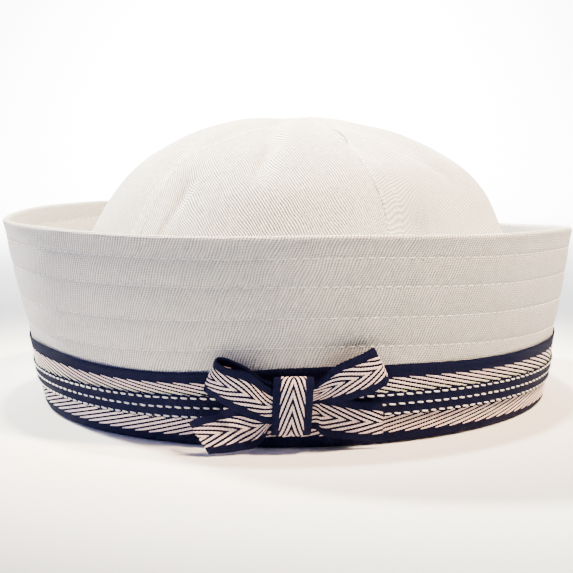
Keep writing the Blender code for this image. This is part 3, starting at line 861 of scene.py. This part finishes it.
# Places across a gore in mm from its first seam: closer together where the felled lap steps
LAP_SPOTS = np.array([0, 0.5, 1.0, 1.5, 2.1, 2.7, 3.4, 4.0, 4.6, 5.0, 5.4, 5.7, 6.0, 6.3, 6.7, 7.2,
                      8.0, 9.0])
LAP_END = LAP_SPOTS[-1]
LAP_SHARE = 0.34          # of a gore's width, the most that its lap takes near the apex
SEAM_ROWS = (0.9, 5.1)    # the lap's two rows of stitches, from the seam
SEAM_LENGTH = 150.0
GORE_COLUMNS = 104        # beyond the lap
GORE_ROWS = 112


def gore_width(first, last):
    """Width of a gore between its seams at the crown's bottom edge."""
    return CROWN[0]["radius"] * math.radians((last["low"] - first["low"]) % 360)


def gore_cloth(first, last):
    """The surface of the gore between two seams, as a function of x and t.

    x is the distance from the first seam in mm at the crown's bottom edge, t the way up to the
    apex from 0 to 1.
    """
    full = gore_width(first, last)

    def cloth(x, t):
        start, end = seam_azimuth(first, t), seam_azimuth(last, t)
        end = np.where(end < start, end + 360, end)
        radius = np.maximum(along(CROWN, "radius", t), 1e-3)
        width = np.radians(end - start) * radius
        squeeze = np.clip(width * LAP_SHARE / LAP_WIDTH, 0, 1)
        far = LAP_END * squeeze + (x - LAP_END) * (width - LAP_END * squeeze) / (full - LAP_END)
        away = np.clip(np.where(x <= LAP_END, x * squeeze, far), 0.02, width - 0.02)
        fade = np.clip(radius / 12, 0, 1)
        lift = LAP_RISE * (1 / (1 + np.exp((x - LAP_WIDTH) / 0.22))) * fade
        for line in SEAM_ROWS:
            lift = lift - 0.12 * np.exp(-((x - line) / 0.5) ** 2) * fade
        return crown_surface(start + np.degrees(away / radius), t, lift)

    return cloth


def build_crown(settings):
    """Four gores of twill, each with a felled lap along its first seam, and their topstitching."""
    pitch = settings.stitch_pitch / MM
    seats = []
    for number, name in enumerate(("front", "right", "back", "left")):
        first, last = SEAMS[number], SEAMS[(number + 1) % 4]
        # painted shade between the wales, lighter on the right gore
        twill = twill_material(f"twill_gore_{name}", settings, GORE_WALES[name], 0.92,
                               0.48, 0.48 if name == "right" else 0.12)
        cloth = gore_cloth(first, last)
        beyond = np.linspace(LAP_END, gore_width(first, last), GORE_COLUMNS + 2)[1:]
        spots = np.concatenate([LAP_SPOTS, beyond])
        bm = grid(len(spots) - 1, GORE_ROWS, (0, len(spots) - 1), (0, 1))

        def place(x, y, _, cloth=cloth, spots=spots):
            t = curve([0, 0.5, 0.8, 1], [0, 0.62, 0.88, 1], y)
            return cloth(spots[np.round(x).astype(int)], np.minimum(t, 0.9985))

        ob = piece(f"gore_{name}", bm, place, twill, [f"crown_{name}"], closed=False)
        wall = ob.modifiers.new("wall", "SOLIDIFY")
        wall.thickness, wall.offset, wall.use_even_offset = CROWN_WALL * MM, -1.0, False
        flat_from_shape(ob.data, first, last)

        t_row = np.arange(0.12, 0.975, pitch / SEAM_LENGTH)
        for line in SEAM_ROWS:
            seats += seats_on(lambda t, x, cloth=cloth: cloth(x, t), t_row,
                              np.full(len(t_row), line))
    stitches("crown_stitches", seats, settings, thread_material("crown_thread", settings),
             width=0.30)


def flat_from_shape(mesh, first, last):
    """Flat coordinates of a gore, in mm: across from its middle line, and up along it."""
    points = vertex_points(mesh) / MM - CENTRE
    middle = first["low"] + (last["low"] - first["low"]) % 360 / 2
    radius = np.hypot(points[:, 0], points[:, 1])
    azimuth = np.degrees(np.arctan2(points[:, 0], -points[:, 1]))
    off = (azimuth - middle + 180) % 360 - 180
    t = np.linspace(0, 1, 200)
    path = np.stack([along(CROWN, "radius", t), along(CROWN, "height", t)], axis=1)
    up = np.interp(-radius, -path[:, 0], way(path))
    set_flat(mesh, np.stack([radius * np.radians(off), up], axis=1)[face_corners(mesh)])


BAND_LENGTH = 598.5       # the wide ribbon around the cap
BAND_WIDTH = 24.4
BAND_SINK = 0.25          # the wide ribbon lies a little closer to the brim than its solid
BAND_THICK = 0.6
BAND_RISE = 1.32          # of its stripes for each pitch
STRIPE_HALF = 3.5         # half of the narrow ribbon
STRIPE_THICK = 0.45
STRIPE_LIFT = 0.72        # of the narrow ribbon's face off the wide one's
STITCH_ROW = 2.95         # the narrow ribbon's outer rows of stitches, from its middle
LOWER_KEEP = 9.6          # below the middle, the wide ribbon keeps its width down to here


def band_place(s, w, height):
    """Points on the wide ribbon: s along it, w across from its middle, height off its face.

    The narrow ribbon keeps its width; the cloth beside it is eased up or down to the edges.
    """
    azimuth = s / BAND_LENGTH * 360 - 180
    middle = around(STRIPE_MIDDLE, "height", azimuth)
    top = around(RIBBON_TOP, "height", azimuth) - middle
    foot = middle - RIBBON_FOOT
    half = BAND_WIDTH / 2
    upper = STRIPE_HALF + (top - STRIPE_HALF) * (w - STRIPE_HALF) / (half - STRIPE_HALF)
    lower = -LOWER_KEEP + (foot - LOWER_KEEP) * (w + LOWER_KEEP) / (half - LOWER_KEEP)
    z = middle + np.where(w > STRIPE_HALF, upper, np.where(w < -LOWER_KEEP, lower, w))
    return polar(ribbon_face(azimuth, z) - BAND_SINK + height, azimuth, z)


def build_bands(settings):
    """The wide herringbone ribbon and the narrow ribbon stitched along its middle."""
    pitch = BAND_LENGTH / round(BAND_LENGTH / settings.stripe_pitch * MM)
    navy = navy_material("navy_ribbon_edge", settings)
    bm = ribbon_strip(BAND_LENGTH, BAND_WIDTH, 720, 22, BAND_THICK)
    band = piece("band_ribbon_ground", bm, band_place, navy, ["band_ribbon"])
    low = STRIPE_HALF - 0.9   # the stripes start under the narrow ribbon
    for side, name, reach in ((1, "upper", 8.5), (-1, "lower", 9.35)):
        bm = herringbone(BAND_LENGTH, reach - low, pitch, BAND_RISE, True, tips=0.35)

        def place(x, y, z, side=side):
            return band_place(x % BAND_LENGTH, side * (y + low), z + 0.01)

        # the upper half's stripes turn cream between these distances from the middle
        yarn_mat = yarn_material(f"stripe_yarn_{name}", settings, (3.0, 2.1) if side > 0 else None)
        piece(f"band_yarns_{name}", bm, place, yarn_mat)
    narrow = navy_material("navy_narrow_ribbon", settings, 0.62)
    bm = ribbon_strip(BAND_LENGTH, STRIPE_HALF * 2, 1152, 8, STRIPE_THICK)
    number = round(BAND_LENGTH / (settings.stitch_pitch / MM))
    stitch = BAND_LENGTH / number

    def strip(x, y, z):
        bulge = np.abs(np.sin(np.pi * (x / stitch - np.where(y > 0, 0.15, 0.0))))
        edge = np.clip((np.abs(y) - STRIPE_HALF + 0.7) / 0.7, 0, 1)
        wide = y + np.sign(y) * edge * (0.55 * bulge - 0.12)
        return band_place(x, wide, z + STRIPE_LIFT)

    piece("band_stripe_ribbon", bm, strip, narrow, ["band_stripe"])
    s = (np.arange(number) + 0.5) * stitch
    seats = []
    for row, shift in ((-STITCH_ROW, 0.0), (0.0, 0.4), (STITCH_ROW, 0.15)):
        seats += seats_on(lambda a, b: band_place(a, b, 0.0), s + shift * stitch,
                          np.full(number, row), STRIPE_LIFT + 0.04)
    stitches("band_stripe_stitches", seats, settings, thread_material("white_thread", settings),
             length=2.25, width=0.55, tilt=-0.1)


BOW_WIDTH = 11.8
BOW_HERRINGBONE = 3.9     # half of the bow ribbon's striped middle
BOW_THICK = 0.55
BOW_RISE = 1.38           # of its stripes for each pitch


def build_bow(settings):
    """The bow: two loops and two tails of narrower herringbone ribbon, held by a knot."""
    pitch = settings.bow_stripe_pitch / MM
    navy = navy_material("navy_bow_edge", settings)
    yarn_mat = yarn_material("bow_yarn", settings)
    runs = (("bow_loop_left", LOOP_LEFT, False), ("bow_loop_right", LOOP_RIGHT, True),
            ("bow_tail_left", TAIL_LEFT, True), ("bow_tail_right", TAIL_RIGHT, False))
    for name, rows, turned in runs:
        run = BowRun(rows)
        bm = ribbon_strip(run.length, BOW_WIDTH, 150, 22, BOW_THICK)

        def place(x, y, z, run=run):
            return run.place(x, y / BOW_WIDTH, z + BOW_THICK / 2)

        ob = piece(f"{name}_ribbon", bm, place, navy, [name])
        close_ends(ob)
        for face in (1, -1):
            bm = chevrons(run.length, pitch)

            def yarns(x, y, z, run=run, face=face, turned=turned):
                x = run.length - x if turned else x
                return run.place(x, y / BOW_WIDTH, face * (z + BOW_THICK / 2 + 0.005))

            piece(f"{name}_yarns_{'front' if face > 0 else 'back'}", bm, yarns, yarn_mat)
    build_knot(settings, navy, yarn_mat, pitch)


def close_ends(ob):
    """Closes the cut ends of a ribbon."""
    bm = bmesh.new()
    bm.from_mesh(ob.data)
    edges = [e for e in bm.edges if e.is_boundary]
    if edges:
        bmesh.ops.holes_fill(bm, edges=edges, sides=0)
    bmesh.ops.recalc_face_normals(bm, faces=bm.faces)
    bm.to_mesh(ob.data)
    bm.free()


KNOT_WAY = way([(row["out"], row["z"]) for row in KNOT + KNOT[:1]])
KNOT_LENGTH = float(KNOT_WAY[-1])


def knot_place(s, across, height):
    """Points on the knot's ribbon: s around it, across in mm, height off its face."""
    where = (s / KNOT_LENGTH % 1.0) * KNOT_LENGTH
    xs = np.concatenate([KNOT_WAY[:-1] + turn * KNOT_LENGTH for turn in (-1, 0, 1)])

    def at(column, place):
        return curve(xs, [row[column] for row in KNOT] * 3, place)

    e = 0.2
    out, z = at("out", where), at("z", where)
    d_out, d_z = (at(c, where + e) - at(c, where - e) for c in ("out", "z"))
    size = np.hypot(d_out, d_z)
    off = height - 0.5 * np.abs(2 * across / KNOT_WIDTH) ** 3 * np.clip((out - 3) / 2, 0, 1)
    middle_z = sum(row["z"] for row in KNOT) / len(KNOT)
    out, z = out - d_z / size * off, z + d_out / size * off
    return bow_place(KNOT_CENTRE + across + KNOT_LEAN * (z - middle_z), out, z)


def build_knot(settings, navy, yarn_mat, pitch):
    """The short turn of ribbon around the bow's middle."""
    bm = ribbon_strip(KNOT_LENGTH, KNOT_WIDTH, 120, 22, BOW_THICK)
    knot = piece("bow_knot_ribbon", bm, knot_place, navy, ["bow_knot"])
    bm = chevrons(KNOT_LENGTH, pitch)
    piece("bow_knot_yarns", bm, lambda x, y, z: knot_place(-x, y, z + 0.005), yarn_mat)


FLOOR_FRONT = -1.0        # the stage, in metres: a flat floor, a bend and a wall
FLOOR_FLAT = 2.1
FLOOR_BEND = 0.5
FLOOR_RUN = 3.6
LIGHTS = table(
    "name kind at to size angle power colour",
    ("overhead", "SPOT", (0, 0.15, 1.5), (0, 0.02, 0.08), 0.12, 13, 600, (1.0, 0.98, 0.76)),
    ("left_back", "SPOT", (-0.75, 0.55, 0.95), (0, 0, 0.08), 0.12, 15, 820, (1.0, 0.98, 0.82)),
    ("right_front", "SPOT", (0.6, -0.35, 1.25), (0.02, -0.02, 0.08), 0.12, 12, 960,
     (1.0, 0.71, 0.47)),
    ("backdrop", "AREA", (0, 1.1, 1.3), (0, 1.25, 0), 1.0, 110, 60, (1.0, 0.97, 0.98)),
    ("wall", "AREA", (0, 0.75, 1.25), (0, 1.6, 0.2), 0.8, 80, 70, (1.0, 0.98, 0.97)),
    ("left", "AREA", (-1.3, -0.4, 0.5), (0, 0, 0.05), 1.2, 180, 18, (0.46, 0.50, 1.0)))


def add_floor():
    """A pale floor that bends up behind into a wall."""
    bm = grid(24, 40, (-1.6, 1.6), (0, 1))
    for vert in bm.verts:
        run = FLOOR_RUN * vert.co.y
        past = max(run - FLOOR_FLAT, 0)
        turn = min(past / FLOOR_BEND, math.pi / 2)
        vert.co.y = FLOOR_FRONT + min(run, FLOOR_FLAT) + FLOOR_BEND * math.sin(turn)
        vert.co.z = FLOOR_BEND * (1 - math.cos(turn)) + max(past - FLOOR_BEND * math.pi / 2, 0)
    mesh = bpy.data.meshes.new("floor")
    bm.to_mesh(mesh)
    bm.free()
    mesh.shade_smooth()
    mesh.materials.append(floor_material(linear("#F0EFEE")))
    add_object("floor", mesh)


def add_light(row):
    """A light of the table, turned to what it lights."""
    data = bpy.data.lights.new(row["name"], row["kind"])
    data.energy, data.color = row["power"], row["colour"]
    if row["kind"] == "SPOT":
        data.spot_size, data.spot_blend = math.radians(row["angle"]), 1.0
        data.shadow_soft_size = row["size"]
    else:
        data.size, data.spread = row["size"], math.radians(row["angle"])
    lamp = add_object(row["name"], data)
    lamp.location = row["at"]
    way = Vector(row["to"]) - lamp.location
    lamp.rotation_euler = way.to_track_quat("-Z", "Y").to_euler()


def build_stage(_settings):
    """A pale floor that curves up behind, soft lights and the camera."""
    scene = bpy.context.scene
    add_floor()
    world = scene.world or bpy.data.worlds.new("studio")
    scene.world = world
    world.use_nodes = True
    back = world.node_tree.nodes["Background"]
    back.inputs["Color"].default_value = (0.93, 0.95, 1.0, 1.0)
    back.inputs["Strength"].default_value = 0.015
    for row in LIGHTS:
        add_light(row)

    data = bpy.data.cameras.new("camera")
    data.sensor_width = 36.0
    data.lens = CAMERA["lens"]
    data.clip_start, data.clip_end = 0.01, 20.0
    camera = add_object("camera", data)
    place = np.array([CAMERA["x"], CAMERA["y"], CAMERA["z"]]) + CENTRE
    camera.matrix_world = (
        Matrix.Translation(place * MM)
        @ Matrix.Rotation(math.radians(90 - CAMERA["pitch"]), 4, "X")
        @ Matrix.Rotation(-math.radians(CAMERA["roll"]), 4, "Z"))
    scene.camera = camera


class SAILORCAP_OT_brim(bpy.types.Operator):
    """Builds the turned-up brim and its rows of stitches"""

    bl_idname = "sailorcap.brim"
    bl_label = "Build Brim"

    def execute(self, context):
        return finish(build_brim, context)


class SAILORCAP_OT_crown(bpy.types.Operator):
    """Builds the crown's four gores and their felled seams"""

    bl_idname = "sailorcap.crown"
    bl_label = "Build Crown"

    def execute(self, context):
        return finish(build_crown, context)


class SAILORCAP_OT_bands(bpy.types.Operator):
    """Builds the wide herringbone ribbon and the narrow ribbon on it"""

    bl_idname = "sailorcap.bands"
    bl_label = "Build Ribbons"

    def execute(self, context):
        return finish(build_bands, context)


class SAILORCAP_OT_bow(bpy.types.Operator):
    """Builds the bow's loops, tails and knot"""

    bl_idname = "sailorcap.bow"
    bl_label = "Build Bow"

    def execute(self, context):
        return finish(build_bow, context)


class SAILORCAP_OT_stage(bpy.types.Operator):
    """Adds the floor, the lights and the camera"""

    bl_idname = "sailorcap.stage"
    bl_label = "Build Stage"

    def execute(self, context):
        return finish(build_stage, context)


OPERATORS = (SAILORCAP_OT_brim, SAILORCAP_OT_crown, SAILORCAP_OT_bands, SAILORCAP_OT_bow,
             SAILORCAP_OT_stage)


class SAILORCAP_PT_panel(bpy.types.Panel):
    """Lists the cap's settings and the steps that build it"""

    bl_idname = "SAILORCAP_PT_panel"
    bl_label = "Sailor Cap"
    bl_space_type = "VIEW_3D"
    bl_region_type = "UI"
    bl_category = "Sailor Cap"

    def draw(self, context):
        settings = context.scene.sailor_cap
        column = self.layout.column()
        for name in CapSettings.__annotations__:
            column.prop(settings, name)
        for operator in OPERATORS:
            column.operator(operator.bl_idname)


CLASSES = (CapSettings, *OPERATORS, SAILORCAP_PT_panel)


def register():
    for cls in CLASSES:
        bpy.utils.register_class(cls)
    bpy.types.Scene.sailor_cap = PointerProperty(type=CapSettings)


def unregister():
    del bpy.types.Scene.sailor_cap
    for cls in reversed(CLASSES):
        bpy.utils.unregister_class(cls)


def main():
    """Builds the whole scene."""
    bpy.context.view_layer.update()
    register()
    bpy.ops.sailorcap.stage()
    bpy.ops.sailorcap.brim()
    bpy.ops.sailorcap.crown()
    bpy.ops.sailorcap.bands()
    bpy.ops.sailorcap.bow()


if __name__ == "__main__":
    main()
